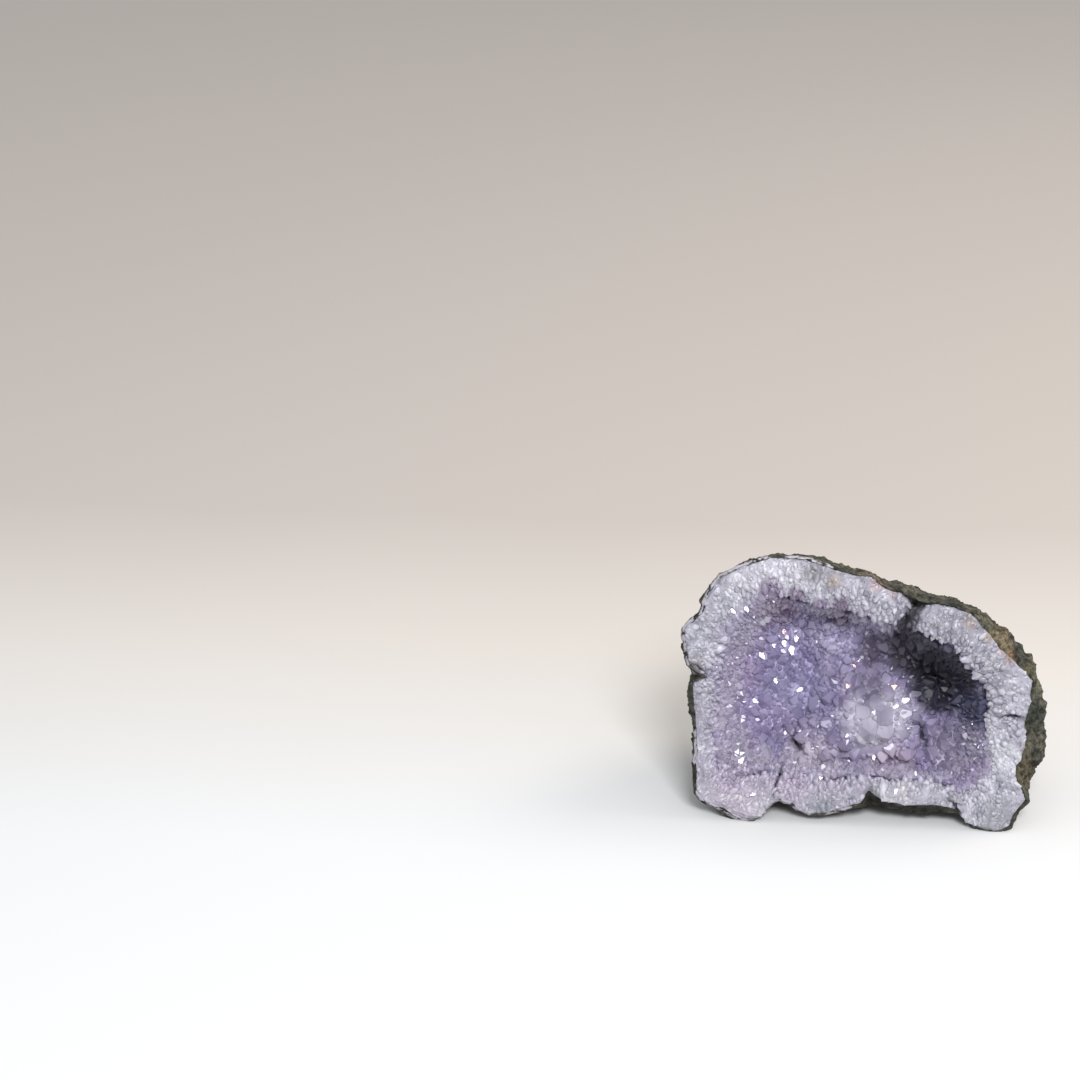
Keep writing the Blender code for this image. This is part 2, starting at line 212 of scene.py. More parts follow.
def painted(tree, flat, colour, patches):
    """The colour with patches over it: u, v, inner, outer, hex colour and strength."""
    for u, v, inner, outer, paint, strength in patches:
        share = node(
            tree, "Math", {0: spot(tree, flat, u, v, inner, outer), 1: strength}, operation="MULTIPLY"
        )
        colour = node(tree, "Mix", {0: share, 6: colour, 7: paint}, 2, data_type="RGBA")
    return colour


def wandering(tree, mouth, reach, depth=0.0):
    """The place in the mouth, pushed about by noise, so that patches have ragged edges.

    With a depth, patches also end behind the mouth.
    """
    push = node(tree, "TexNoise", {"Vector": mouth, "Scale": 1 / 5.0, "Detail": 3.0}, "Color")
    push = node(tree, "VectorMath", {0: push, 1: (0.5, 0.5, 0.5)}, operation="SUBTRACT")
    push = node(tree, "VectorMath", {0: push, "Scale": 2 * reach}, operation="SCALE")
    moved = node(tree, "VectorMath", {0: mouth, 1: push}, operation="ADD")
    return node(tree, "VectorMath", {0: moved, 1: (1, 1, depth)}, operation="MULTIPLY")


# %% [markdown]
# Basalt is a fine dark lava. Weathered, it is an olive grey-brown and quite matt, with rusty
# stains where iron has leached out. Two patches among the stains are painted shade, which makes
# the underside near the floor nearly black. Patches are 8 to 20 mm wide, spots 2 mm and the grain
# under 1 mm: noise of several sizes makes it, because one size alone looks printed. A film of
# quartz, whose place is the film attribute, has run over its thin edge.

# %% Weathered basalt
RUST_AND_SHADE = (  # u, v, full within and gone at, all in mm; colour and strength
    (58, -26, 3, 8, "#64573F", 0.6),
    (48, 21, 3, 8, "#8A7A5C", 0.6),
    (51, 15, 1, 3, "#9A7A5C", 0.7),
    (56, 9, 2, 5, "#6E684A", 0.6),
    (61, -6, 2, 7, "#3B4038", 0.8),
    (3, 41, 2, 8, "#9C8672", 0.6),
    # Painted shade: the underside near the floor, which lies in shadow, painted nearly black
    (6, -40, 3, 9, "#26241C", 0.8),
    (22, -41, 4, 12, "#26241C", 0.8),
)


def weathered_basalt():
    material, tree, shader, mouth = new_material("weathered_basalt")
    patches = node(tree, "TexNoise", {"Vector": mouth, "Scale": 1 / 12.0, "Detail": 5.0})
    spots = node(tree, "TexNoise", {"Vector": mouth, "Scale": 1 / 2.2, "Detail": 3.0})
    grain = node(tree, "TexNoise", {"Vector": mouth, "Scale": 1 / 0.7, "Detail": 4.0})
    stains = node(tree, "TexNoise", {"Vector": mouth, "Scale": 1 / 20.0, "Detail": 4.0})
    body = node(
        tree,
        "ValToRGB",
        {"Fac": patches},
        stops=((0.3, "#3A3C36"), (0.5, "#55554B"), (0.72, "#76725F")),
    )
    rusty = node(tree, "ValToRGB", {"Fac": stains}, stops=((0.55, "#000000"), (0.75, "#909090")))
    body = node(tree, "Mix", {0: rusty, 6: body, 7: "#6C5D44"}, 2, data_type="RGBA")
    body = painted(tree, wandering(tree, mouth, 3.0, 0.5), body, RUST_AND_SHADE)
    dark = node(tree, "ValToRGB", {"Fac": spots}, stops=((0.38, "#484A46"), (0.58, "#FFFFFF")))
    fine = node(tree, "ValToRGB", {"Fac": grain}, stops=((0.35, "#7C7C78"), (0.65, "#FFFFFF")))
    for shade in (dark, fine):
        body = node(
            tree, "Mix", {0: 0.8, 6: body, 7: shade}, 2, data_type="RGBA", blend_type="MULTIPLY"
        )
    film = node(tree, "Attribute", {}, "Fac", attribute_name="film")
    flecks = node(tree, "ValToRGB", {"Fac": spots}, stops=((0.4, "#000000"), (0.52, "#FFFFFF")))
    film = node(tree, "Math", {0: film, 1: flecks}, operation="MULTIPLY")
    body = node(tree, "Mix", {0: film, 6: body, 7: "#AAA7AF"}, 2, data_type="RGBA")
    tree.links.new(body, shader.inputs["Base Color"])
    shader.inputs["Roughness"].default_value = 0.9
    shader.inputs["Specular IOR Level"].default_value = 0.3
    bump = node(tree, "Bump", {"Strength": 0.6, "Distance": 0.4 * MM, "Height": grain})
    tree.links.new(bump, shader.inputs["Normal"])
    return material


# %% [markdown]
# Milky quartz is full of tiny bubbles of water, so light goes in a little way and comes out
# again: it is white with a cool grey-lilac depth, and its breaks are waxy. Where it grew as
# columns, each column is a shade of its own, which the tone attribute carries. It is pinker at
# the lower left, and iron has stained it brown where it meets the rock. Painted shade darkens its
# inner edge under the top of the rim and the broken notch at the upper right. Subsurface
# scattering gives it the depth, without which it would look like plaster.

# %% Milky quartz
QUARTZ_IOR = 1.544
QUARTZ_STAINS_AND_SHADE = (  # laid out as RUST_AND_SHADE is
    (-45, -38, 4, 20, "#C8BDC9", 0.7),
    (-40, 44, 3, 16, "#D5D2DA", 0.8),
    (-28, 41, 3, 10, "#DAD7E0", 0.8),
    (-19, 42, 2, 6, "#A09EA3", 0.8),
    (-57, -7, 4, 16, "#AEACB5", 0.8),
    (-3, 34, 3, 10, "#B7B4BE", 0.7),
    (-12, 39, 1, 4, "#AA9A84", 0.6),
    (3, 38, 1, 4, "#C6ACAA", 0.5),
    (9, 36, 1, 4, "#C2A8A6", 0.5),
    (31, 23, 4, 14, "#A09EA8", 0.8),
    (45, 9, 4, 12, "#A9A7B0", 0.8),
    (50, 14, 1, 3, "#B0988C", 0.7),
    (43, 21, 1, 3, "#B09C8E", 0.7),
    (47, 17, 0, 2, "#B2826E", 0.7),
    (36, 26, 1, 3, "#A8978C", 0.6),
    (51, -22, 3, 9, "#D5D5DE", 0.9),
    (58, -18, 1, 3, "#C4A6A8", 0.7),
    (48, -42, 3, 11, "#A2A3AA", 0.8),
    (-24, -35, 3, 9, "#BDB2C2", 0.85),
    (-10, -35, 3, 8, "#ABA5B1", 0.85),
    (-13, -41, 1.5, 5, "#8E939C", 0.85),
    (0, -34, 1, 4, "#ACA4B4", 0.8),
    (14, -35, 3, 9, "#C6C3C8", 0.7),
    (-60, 8, 1, 5, "#8F8984", 0.6),
    # Painted shade under the overhanging top of the rim, darkening the band's inner edge
    (-34, 34.5, 2.5, 6, "#84728C", 0.75),
    (-25, 33, 2, 5, "#7D6B85", 0.75),
    (-16, 30, 1.5, 4, "#857590", 0.7),
    (-9, 29.5, 2, 4.5, "#74627A", 0.85),
    (-2, 27.5, 1.5, 3.5, "#8F8298", 0.6),
    # Painted shade in the broken notch at the upper right of the rim, which lies in shadow
    (18.0, 31.5, 1.5, 3.6, "#767779", 0.9),
    (16.3, 27.0, 2.0, 3.8, "#59575D", 0.95),
    (14.5, 23.5, 2.6, 4.4, "#4A474F", 0.95),
    (13.0, 20.0, 3.0, 5.0, "#443F4A", 0.95),
)


def milky_quartz():
    material, tree, shader, mouth = new_material("milky_quartz")
    tone = node(tree, "Attribute", {}, "Fac", attribute_name="tone")
    clouds = node(tree, "TexNoise", {"Vector": mouth, "Scale": 1 / 4.0, "Detail": 5.0})
    sugar = node(tree, "TexVoronoi", {"Vector": mouth, "Scale": 1 / 1.1}, "Distance")
    body = node(
        tree,
        "ValToRGB",
        {"Fac": clouds},
        stops=((0.34, "#A09FA9"), (0.5, "#B9B7C2"), (0.66, "#D0CED8")),
    )
    body = painted(tree, wandering(tree, mouth, 1.5), body, QUARTZ_STAINS_AND_SHADE)
    grade = node(tree, "Attribute", {}, "Fac", attribute_name="grade")
    body = node(tree, "Mix", {0: grade, 6: body, 7: "#A596B8"}, 2, data_type="RGBA")
    # Painted shade: the inside of each crack is painted nearly black
    crack = node(tree, "Attribute", {}, "Fac", attribute_name="crack")
    body = node(tree, "Mix", {0: crack, 6: body, 7: "#2B272C"}, 2, data_type="RGBA")
    shade = node(tree, "ValToRGB", {"Fac": tone}, stops=((0.0, "#C4C2CC"), (0.8, "#FFFFFF")))
    body = node(
        tree, "Mix", {0: 1.0, 6: body, 7: shade}, 2, data_type="RGBA", blend_type="MULTIPLY"
    )
    tree.links.new(body, shader.inputs["Base Color"])
    shader.inputs["Roughness"].default_value = 0.38
    shader.inputs["IOR"].default_value = QUARTZ_IOR
    shader.inputs["Transmission Weight"].default_value = 0.15
    shader.inputs["Subsurface Weight"].default_value = 0.5
    shader.inputs["Subsurface Radius"].default_value = (1.0, 0.95, 1.1)
    shader.inputs["Subsurface Scale"].default_value = 1.6 * MM
    bump = node(tree, "Bump", {"Strength": 0.25, "Distance": 0.3 * MM, "Height": sugar})
    tree.links.new(bump, shader.inputs["Normal"])
    return material


# %% [markdown]
# Amethyst is quartz coloured by iron, from milky lilac to deep purple. The deep pocket is nearly
# black, because little light comes out of it: painted shade over a somewhat deeper purple. Painted
# shade also darkens the crust under the top of the rim, and the boss in the middle is almost milky.
# Every crystal carries a tone, because no two are quite the same, and next to the band all are pale.

# %% Colours of amethyst
AMETHYST_TINTS_AND_SHADE = (  # laid out as RUST_AND_SHADE is
    (-30, 14, 4, 12, "#B3ABCC", 0.6),
    (-10, 16, 4, 12, "#C2BBD6", 0.8),
    # Painted shade: these two darken the crust under the overhanging top of the rim
    (-32, 31, 5, 12, "#745A7A", 0.95),
    (-9, 28, 3, 8, "#5C4664", 0.95),
    (-24, 0, 6, 16, "#B2AECE", 0.7),
    (-41, 16, 3, 9, "#AFA4C0", 0.7),
    (-44, 4, 3, 10, "#B9A6C8", 0.6),
    (-32, -11, 3, 9, "#B9AECE", 0.8),
    (-46, -12, 4, 12, "#B0A3C6", 0.7),
    (-42, -26, 3, 10, "#94829F", 0.8),
    (-33, -20, 1, 6, "#8E86B4", 0.6),
    (-17, -27, 6, 14, "#D8CFDC", 0.9),
    (5, -10, 8, 17, "#D5D0DD", 0.9),
    (3, 1, 3, 8, "#948CA4", 0.8),
    (12, -27, 4, 12, "#C9B9CC", 0.8),
    (33, -20, 5, 13, "#958DA2", 0.8),
    (43, -28, 2, 8, "#A38CB2", 0.8),
)
# Painted shade over a deeper purple: the shade that fills the deep pocket, painted into its colour
POCKET_SHADE_AND_PURPLE = (
    (18, 15, 7, 13, "#433E4A", 0.95),
    (29, 4, 9, 15, "#31303F", 0.97),
    (40, -5, 4, 10, "#4C4E6A", 0.95),
    (15, 26, 3, 8, "#46424A", 0.9),
    (5, 14, 2, 9, "#5C5266", 0.8),
)


def amethyst_colour(tree, mouth, tone):
    clouds = node(tree, "TexNoise", {"Vector": mouth, "Scale": 1 / 8.0, "Detail": 3.0})
    body = node(
        tree, "ValToRGB", {"Fac": clouds}, stops=((0.35, "#A096BA"), (0.65, "#B7AEC8"))
    )
    flat = wandering(tree, mouth, 3.0)
    body = painted(tree, flat, body, AMETHYST_TINTS_AND_SHADE)
    # Near the band the crust is as pale as the band
    grade = node(tree, "Attribute", {}, "Fac", attribute_name="grade")
    body = node(tree, "Mix", {0: grade, 6: "#C2BCCC", 7: body}, 2, data_type="RGBA")
    # Painted shade over a deeper purple makes the pocket dark, only below the mouth
    dark = painted(tree, flat, body, POCKET_SHADE_AND_PURPLE)
    w = node(tree, "SeparateXYZ", {"Vector": mouth}, "Z")
    ranges = {"Value": w, "From Min": 2.5, "From Max": -1.0}
    below = node(tree, "MapRange", ranges, interpolation_type="SMOOTHSTEP")
    body = node(tree, "Mix", {0: below, 6: body, 7: dark}, 2, data_type="RGBA")
    # Painted shade: the inside of each crack is painted nearly black
    crack = node(tree, "Attribute", {}, "Fac", attribute_name="crack")
    body = node(tree, "Mix", {0: crack, 6: body, 7: "#2B272C"}, 2, data_type="RGBA")
    shade = node(tree, "ValToRGB", {"Fac": tone}, stops=((0.0, "#D8D5E0"), (0.85, "#FFFFFF")))
    body = node(
        tree, "Mix", {0: 1.0, 6: body, 7: shade}, 2, data_type="RGBA", blend_type="MULTIPLY"
    )
    return body


# %% [markdown]
# The faces of a crystal are flat and glassy, so each shines or not as a whole. The tips are
# see-through and the roots milky, and a thin absorption makes thick crystals deeper. Clear glass
# would show too much of the bed behind it, so the tips are half clear. The dark points of the
# pocket are frosted, and only the glinting ones are like mirrors.

# %% Amethyst


def amethyst(name, see_through, depth_of_colour):
    """The finish of the crust. See-through is that of the tips, and 0 depth means none."""
    material, tree, shader, mouth = new_material(name)
    tip = node(tree, "Attribute", {}, "Fac", attribute_name="tip")
    tone = node(tree, "Attribute", {}, "Fac", attribute_name="tone")
    body = amethyst_colour(tree, mouth, tone)
    tree.links.new(body, shader.inputs["Base Color"])
    clear = {"Value": tip, "To Min": see_through * 0.3, "To Max": see_through}
    tree.links.new(node(tree, "MapRange", clear), shader.inputs["Transmission Weight"])
    ranges = {"Value": body, "From Min": 0.03, "From Max": 0.25, "To Min": 0.5, "To Max": 0.24}
    frost = node(tree, "MapRange", ranges)
    polish = node(tree, "MapRange", {"Value": tone, "From Min": 0.9, "From Max": 0.95})
    rough = node(tree, "Mix", {0: polish, 2: frost, 3: 0.08})
    tree.links.new(rough, shader.inputs["Roughness"])
    shader.inputs["IOR"].default_value = QUARTZ_IOR
    shader.inputs["Subsurface Weight"].default_value = 0.3
    shader.inputs["Subsurface Radius"].default_value = (1.0, 0.9, 1.1)
    shader.inputs["Subsurface Scale"].default_value = 1.5 * MM
    if depth_of_colour:
        inputs = {"Color": "#BBADD8", "Density": depth_of_colour}
        soaked = node(tree, "VolumeAbsorption", inputs)
        tree.links.new(soaked, tree.nodes["Material Output"].inputs["Volume"])
    return material


# %% [markdown]
# A CAD node's mesh is loose triangles, so each layer starts as a copy whose corners are merged.
# Nothing is selected before an operator runs, because it acts on all that is selected.

# %% Helpers for working by hand


def only(obj):
    """Makes obj the one that is active and selected."""
    bpy.ops.object.select_all(action="DESELECT")
    obj.select_set(True)
    bpy.context.view_layer.objects.active = obj


def copy_of_node(name_of_node, name):
    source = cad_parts[name_of_node]
    piece = bpy.data.objects.new(name, source.data.copy())
    bpy.context.scene.collection.objects.link(piece)
    piece.data.materials.clear()
    only(piece)
    bpy.ops.object.mode_set(mode="EDIT")
    bpy.ops.mesh.select_all(action="SELECT")
    bpy.ops.mesh.remove_doubles(threshold=1e-6)
    bpy.ops.object.mode_set(mode="OBJECT")
    return piece


def select_faces(piece, wanted):
    """Selects the faces for which wanted(centre, normal) is true, in edit mode."""
    only(piece)
    bpy.ops.object.mode_set(mode="EDIT")
    bpy.ops.mesh.select_mode(type="FACE")
    bpy.ops.mesh.select_all(action="DESELECT")
    grid = bmesh.from_edit_mesh(piece.data)
    chosen = 0
    for face in grid.faces:
        face.select = wanted(face.calc_center_median(), face.normal)
        chosen += face.select
    bmesh.update_edit_mesh(piece.data)
    return chosen


def report(piece):
    piece.data.calc_loop_triangles()
    print(piece.name, len(piece.data.loop_triangles), "triangles")


def kept_inside(piece):
    """Points that stand out of the CAD solids' box are worn back to it, as at the feet."""
    for vertex in piece.data.vertices:
        for axis in range(3):
            vertex.co[axis] = min(max(vertex.co[axis], cad_box[0][axis]), cad_box[1][axis])


# %% [markdown]
# Broken stone is rough at every size. A Displace modifier moves each point along its normal by
# a procedural texture, and applying three of them, coarse to fine, gives lumps, pits and grit.
# Sculpting would do it too, but this way the size of each is a number in millimetres.

# %% Roughening


def rough_texture(name, kind, size_mm):
    texture = bpy.data.textures.new(name, kind)
    texture.noise_scale = size_mm * MM
    return texture


def displace(piece, texture, strength_mm, group="", middle=0.5):
    modifier = piece.modifiers.new(texture.name, "DISPLACE")
    modifier.texture = texture
    modifier.texture_coords = "LOCAL"
    modifier.strength = strength_mm * MM
    modifier.mid_level = middle
    modifier.vertex_group = group
    only(piece)
    bpy.ops.object.modifier_apply(modifier=modifier.name)


# %% [markdown]
# Only the outside of the rock and its edge in the rim show. Where the rock is a thin skin, deep
# pits would go through it. So its thickness is measured at each point, as the way to the nearest
# point of its inner side, and a vertex group holds the roughness back where it is small.

# %% Thickness of the rock
HEART = from_mouth(0, 0, -18)  # the middle of the stone
ON_GROUND = 0.05 * MM
BACK_STARTS = -9  # w in mm


def shown_rock(centre, normal):
    return normal.dot(centre - HEART) > 0


def behind_rim(centre, normal):
    behind = in_mouth(centre)[2] < BACK_STARTS
    return shown_rock(centre, normal) and centre.z > ON_GROUND and behind


def rock_depth_group(mesh_object, name, least, full):
    """A vertex group of how thick the rock is under each point that shows, from 0 to 1."""
    mesh = mesh_object.data
    far = [v for v in mesh.vertices if v.normal.dot(v.co - HEART) < 0]
    tree = kdtree.KDTree(len(far))
    for v in far:
        tree.insert(v.co, v.index)
    tree.balance()
    group = mesh_object.vertex_groups.new(name=name)
    for v in mesh.vertices:
        if v.normal.dot(v.co - HEART) <= 0 or v.co.z < ON_GROUND:
            continue
        wall = tree.find(v.co)[2] / MM
        share = min(max((wall - least) / (full - least), 0.15), 1.0)
        group.add([v.index], share, "REPLACE")


# %% [markdown]
# The rock's outside is lumpy and pitted. Its CAD facets are 6 mm wide, so the faces that show are
# selected by their place and direction, cut finer, smoothed where they lie behind the rim, cut
# once more and then roughened.

# %% Rock piece
rock = copy_of_node("basalt_rind", "rough_rock")
shown = select_faces(rock, shown_rock)
bpy.ops.mesh.subdivide(number_cuts=3)
bpy.ops.object.mode_set(mode="OBJECT")
select_faces(rock, behind_rim)
bpy.ops.mesh.vertices_smooth(factor=0.5, repeat=6)
bpy.ops.object.mode_set(mode="OBJECT")
select_faces(rock, shown_rock)
bpy.ops.mesh.subdivide(number_cuts=1)
bpy.ops.object.mode_set(mode="OBJECT")
rock_depth_group(rock, "depth of rock", 0.5, 5.0)
displace(rock, rough_texture("lumps", "CLOUDS", 6.0), 2.6, "depth of rock", 0.52)
displace(rock, rough_texture("pits", "VORONOI", 3.0), 1.8, "depth of rock", 0.45)
displace(rock, rough_texture("grit", "CLOUDS", 1.4), 1.1, "depth of rock", 0.5)
kept_inside(rock)
rock.data.materials.append(weathered_basalt())
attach(rock, "root")
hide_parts("basalt_rind")
print("faces of rock that show:", shown)
report(rock)

# %% [markdown]
# The geode has cracks, where a few crystals have broken out or two lumps meet. A crack is a short
# curved slit. Nothing grows in it, the surface below it is pushed in, and its colour is painted
# nearly black as painted shade inside it. Cutting it out with another solid would leave clean walls,
# and a crack in crystal has none.

# %% Cracks
CRACKS = (  # u, v, direction in degrees, half length, half width, depth, all in mm
    (-22.2, -20.6, -55, 3.8, 1.8, 4.0),
    (21.5, -15.0, -65, 5.5, 1.5, 3.5),
    (-58.7, 6.5, -36, 3.2, 0.7, 2.5),
    (51.5, -6.5, 5, 4.5, 0.9, 2.5),
    (-29.5, -33.5, 73, 4.7, 0.7, 2.0),
    (33.3, -38.8, -48, 3.4, 1.2, 2.5),
)


def cracked(u, v):
    """(share, depth): 1 in the middle of a crack, 0 away from it."""
    worst = (0.0, 0.0)
    for cu, cv, direction, length, width, depth in CRACKS:
        turn = math.radians(direction)
        along = (u - cu) * math.cos(turn) + (v - cv) * math.sin(turn)
        across = (v - cv) * math.cos(turn) - (u - cu) * math.sin(turn)
        across += 0.12 * along * along / length + 0.5 * noise.noise(Vector((u, v, 0)) / 2.5)
        share = math.exp(-((along / length) ** 4) - (across / width) ** 2)
        if share > worst[0]:
            worst = (share, depth)
    return worst


def crack_at(place):
    u, v, _ = in_mouth(place)
    return cracked(u, v)[0]


def push_in_cracks(piece):
    facing = [vertex.normal.dot(OUT) > 0 for vertex in piece.data.vertices]
    for vertex, faces_us in zip(piece.data.vertices, facing):
        if faces_us:
            u, v, _ = in_mouth(vertex.co)
            share, depth = cracked(u, v)
            vertex.co -= OUT * share * depth * MM


print(len(CRACKS), "cracks, the longest", 2 * max(crack[3] for crack in CRACKS), "mm")

# %% [markdown]
# The rim is broken milky quartz. Its face is cut finer and roughened here, and the broken columns
# that it is made of are set on it further down. The CAD solids keep a narrow seam between two
# layers, and the back of this one is fattened to close it.

# %% Quartz piece
SEAM = 0.55  # mm
FACE_ENDS = -16  # w in mm


def fatten_back(piece, back):
    select_faces(piece, back)
    bpy.ops.transform.shrink_fatten(value=SEAM * MM)
    bpy.ops.object.mode_set(mode="OBJECT")


def broken_face(centre, normal):
    return normal.dot(OUT) > 0.5 and in_mouth(centre)[2] > FACE_ENDS


quartz = copy_of_node("quartz_band", "milky_band")
fatten_back(quartz, lambda centre, normal: normal.dot(centre - HEART) > 0 and normal.dot(OUT) < 0.4)
shown = select_faces(quartz, broken_face)
bpy.ops.mesh.subdivide(number_cuts=3)
bpy.ops.object.mode_set(mode="OBJECT")
push_in_cracks(quartz)
group = quartz.vertex_groups.new(name="broken face")
group.add([v.index for v in quartz.data.vertices if v.normal.dot(OUT) > 0.4], 1.0, "REPLACE")
displace(quartz, rough_texture("blocks", "VORONOI", 3.6), 1.2, "broken face", 0.5)
displace(quartz, rough_texture("sugar", "CLOUDS", 1.2), 0.7, "broken face")
kept_inside(quartz)
quartz_finish = milky_quartz()
quartz.data.materials.append(quartz_finish)
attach(quartz, "root")
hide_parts("quartz_band")
print("faces of the broken rim:", shown)
report(quartz)

# %% [markdown]
# A quartz crystal is a six-sided prism that ends in six faces, each 52 degrees off level. They
# seldom meet in one point, because some faces grew faster than others. One crystal is modelled by
# hand: a six-sided cylinder is added, and six bisect cuts, each a little higher or lower, make
# its end. A few different ones are enough, because every copy is stretched, turned and leaned by
# its own amount. The columns of the rim are broken off, so three more have blunt ends.

# %% Crystals by hand
END_SLOPE = 51.8  # degrees


def model_point(name, offsets, steepness=END_SLOPE):
    """A crystal 1 wide and about 1 tall. Returns its corners and triangles."""
    slope = math.radians(steepness)
    bpy.ops.object.select_all(action="DESELECT")
    bpy.ops.mesh.primitive_cylinder_add(vertices=6, radius=0.5, depth=1.4, location=(0, 0, 0.7))
    point = bpy.context.object
    point.name = name
    bpy.ops.object.transform_apply(location=True, rotation=False, scale=False)
    bpy.ops.object.mode_set(mode="EDIT")
    for i, offset in enumerate(offsets):
        turn = math.tau * (i + 0.5) / 6
        level = math.sin(slope)
        bpy.ops.mesh.select_all(action="SELECT")
        bpy.ops.mesh.bisect(
            plane_co=(0, 0, 1 + offset),
            plane_no=(level * math.cos(turn), level * math.sin(turn), math.cos(slope)),
            use_fill=True,
            clear_outer=True,
        )
    bpy.ops.mesh.select_all(action="SELECT")
    bpy.ops.mesh.remove_doubles(threshold=0.004)
    bpy.ops.mesh.quads_convert_to_tris()
    bpy.ops.mesh.normals_make_consistent(inside=False)
    bpy.ops.object.mode_set(mode="OBJECT")
    corners = np.array([v.co for v in point.data.vertices])
    faces = np.array([f.vertices for f in point.data.polygons])
    bpy.data.objects.remove(point)
    return corners, faces


POINTS = [
    model_point("even", (0.02, 0.0, 0.03, 0.0, 0.01, 0.04)),
    model_point("three_sided", (0.0, 0.16, -0.02, 0.18, 0.03, 0.14)),
    model_point("chisel", (-0.06, 0.12, 0.14, -0.04, 0.10, 0.13)),
    model_point("one_large", (-0.16, 0.06, 0.12, 0.05, 0.10, 0.02)),
    model_point("two_large", (-0.10, -0.07, 0.10, 0.14, 0.09, 0.12)),
]
SHARP = range(len(POINTS))
POINTS += [
    model_point("blunt", (0.0, 0.03, 0.05, 0.02, 0.06, 0.04), 30),
    model_point("slanted", (-0.10, 0.05, 0.10, 0.08, 0.10, -0.02), 35),
    model_point("domed", (0.02, 0.0, 0.01, 0.0, 0.02, 0.0), 38),
]
BLUNT = range(len(SHARP), len(POINTS))
print("crystal models:", [len(faces) for _, faces in POINTS], "triangles")

# %% [markdown]
# Thousands of objects would be slow, so all crystals of a layer are joined in one mesh. Each
# crystal is a row: root, turn, width, height, flatness, tone and model. Four numbers are written
# for the finish: tip, from 0 at the root to 1, tone, crack, where the finish paints the shade
# inside a crack nearly black, and grade, which says how far the colour has gone between the pale
# band and the purple crust.

# %% Joining crystals


def write_numbers(piece, name, values):
    """A number for every point of the piece, which its finish reads by name."""
    layer = piece.data.attributes.new(name, "FLOAT", "POINT")
    layer.data.foreach_set("value", np.array(values, np.float32))


def turned(axis, spin):
    """A matrix whose z axis is axis."""
    return axis.to_track_quat("Z", "Y").to_matrix() @ Matrix.Rotation(spin, 3, "Z")


def joined(name, crystals, grade_at):
    """crystals: (root, turn, width, height, flatness, tone, model)."""
    corners, faces, tips, tones, grades, cracks = [], [], [], [], [], []
    count = 0
    for root, turn, width, height, flat, tone, model in crystals:
        shape, sides = POINTS[model]
        local = shape * (width, width * flat, height)
        corners.append(local @ np.array(turn).T + np.array(root))
        faces.append(sides + count)
        tips.append(np.clip(shape[:, 2], 0, 1))
        tones.append(np.full(len(shape), tone))
        grades.append(np.full(len(shape), grade_at(root)))
        cracks.append(np.full(len(shape), crack_at(root)))
        count += len(shape)
    mesh = bpy.data.meshes.new(name)
    mesh.from_pydata(np.concatenate(corners).tolist(), [], np.concatenate(faces).tolist())
    mesh.update()
    piece = bpy.data.objects.new(name, mesh)
    bpy.context.scene.collection.objects.link(piece)
    numbers = {"tip": tips, "tone": tones, "grade": grades, "crack": cracks}
    for key, values in numbers.items():
        write_numbers(piece, key, np.concatenate(values))
    kept_inside(piece)
    return piece


# %% [markdown]
# Crystals stand on certain faces only, such as those that look into the hollow. Their triangles
# are read as arrays, with their areas, because a large one has to get more crystals.

# %% Faces of a surface


def surface(piece, wanted):
    """The piece's wanted triangles: corner places, corner normals and areas."""
    mesh = piece.data
    mesh.calc_loop_triangles()
    places = np.array([v.co for v in mesh.vertices])
    normals = np.array([v.normal for v in mesh.vertices])
    rows = np.array([t.vertices for t in mesh.loop_triangles])
    middles = places[rows].mean(axis=1)
    facing = normals[rows].mean(axis=1)
    keep = [bool(wanted(Vector(m), Vector(n))) for m, n in zip(middles, facing)]
    rows = rows[np.array(keep)]
    a, b, c = (places[rows[:, i]] for i in range(3))
    area = 0.5 * np.linalg.norm(np.cross(b - a, c - a), axis=1)
    return places[rows], normals[rows], area


# %% [markdown]
# Places are thrown on a surface at random, and one is kept only if it is far enough from those
# already there, and not in a crack. This gives the even crowding of things that grew side by
# side, which neither a grid nor plain chance has.

# %% Places on a surface
THROWS = 60000
IN_CRACK = 0.45  # share from which nothing grows
BIN = 5 * MM  # more than the widest spacing between two crystals


class Spots:
    """Places already taken, in bins, so that a near one is found fast."""

    def __init__(self, taken=()):
        self.bins = {}
        for place, gap in taken:
            self.add(place, gap)

    def key(self, place):
        return tuple(int(c // BIN) for c in place)

    def add(self, place, gap):
        self.bins.setdefault(self.key(place), []).append((place, gap))

    def clear(self, place, gap):
        x, y, z = self.key(place)
        for dx in (-1, 0, 1):
            for dy in (-1, 0, 1):
                for dz in (-1, 0, 1):
                    for other, room in self.bins.get((x + dx, y + dy, z + dz), ()):
                        if (place - other).length < 0.5 * (gap + room):
                            return False
        return True


def scattered(faces, spacing, seed, taken=()):
    """Places with at least spacing(place) between them: (place, normal, spacing)."""
    corners, normals, area = faces
    chance = np.random.default_rng(seed)
    picks = chance.choice(len(area), THROWS, p=area / area.sum())
    far, side = np.sqrt(chance.random((THROWS, 1))), chance.random((THROWS, 1))
    weights = np.hstack([1 - far, far * (1 - side), far * side])[:, :, None]
    places = (corners[picks] * weights).sum(axis=1)
    facing = (normals[picks] * weights).sum(axis=1)
    spots = Spots(taken)
    kept = []
    for place, normal in zip(places, facing):
        place = Vector(place)
        gap = spacing(place)
        u, v, _ = in_mouth(place)
        if cracked(u, v)[0] < IN_CRACK and spots.clear(place, gap):
            spots.add(place, gap)
            kept.append((place, Vector(normal).normalized(), gap))
    return kept


# %% [markdown]
# The bed under the points is what shows in the gaps between them. It is a copy of the CAD crust
# whose points are smoothed away, because they are too few and too even for the real crust. It
# keeps the crust's back, so it is still a closed solid.

# %% Crust under the points
HOLLOW_HEART = from_mouth(-3, 0, 6)  # what the crystals point to


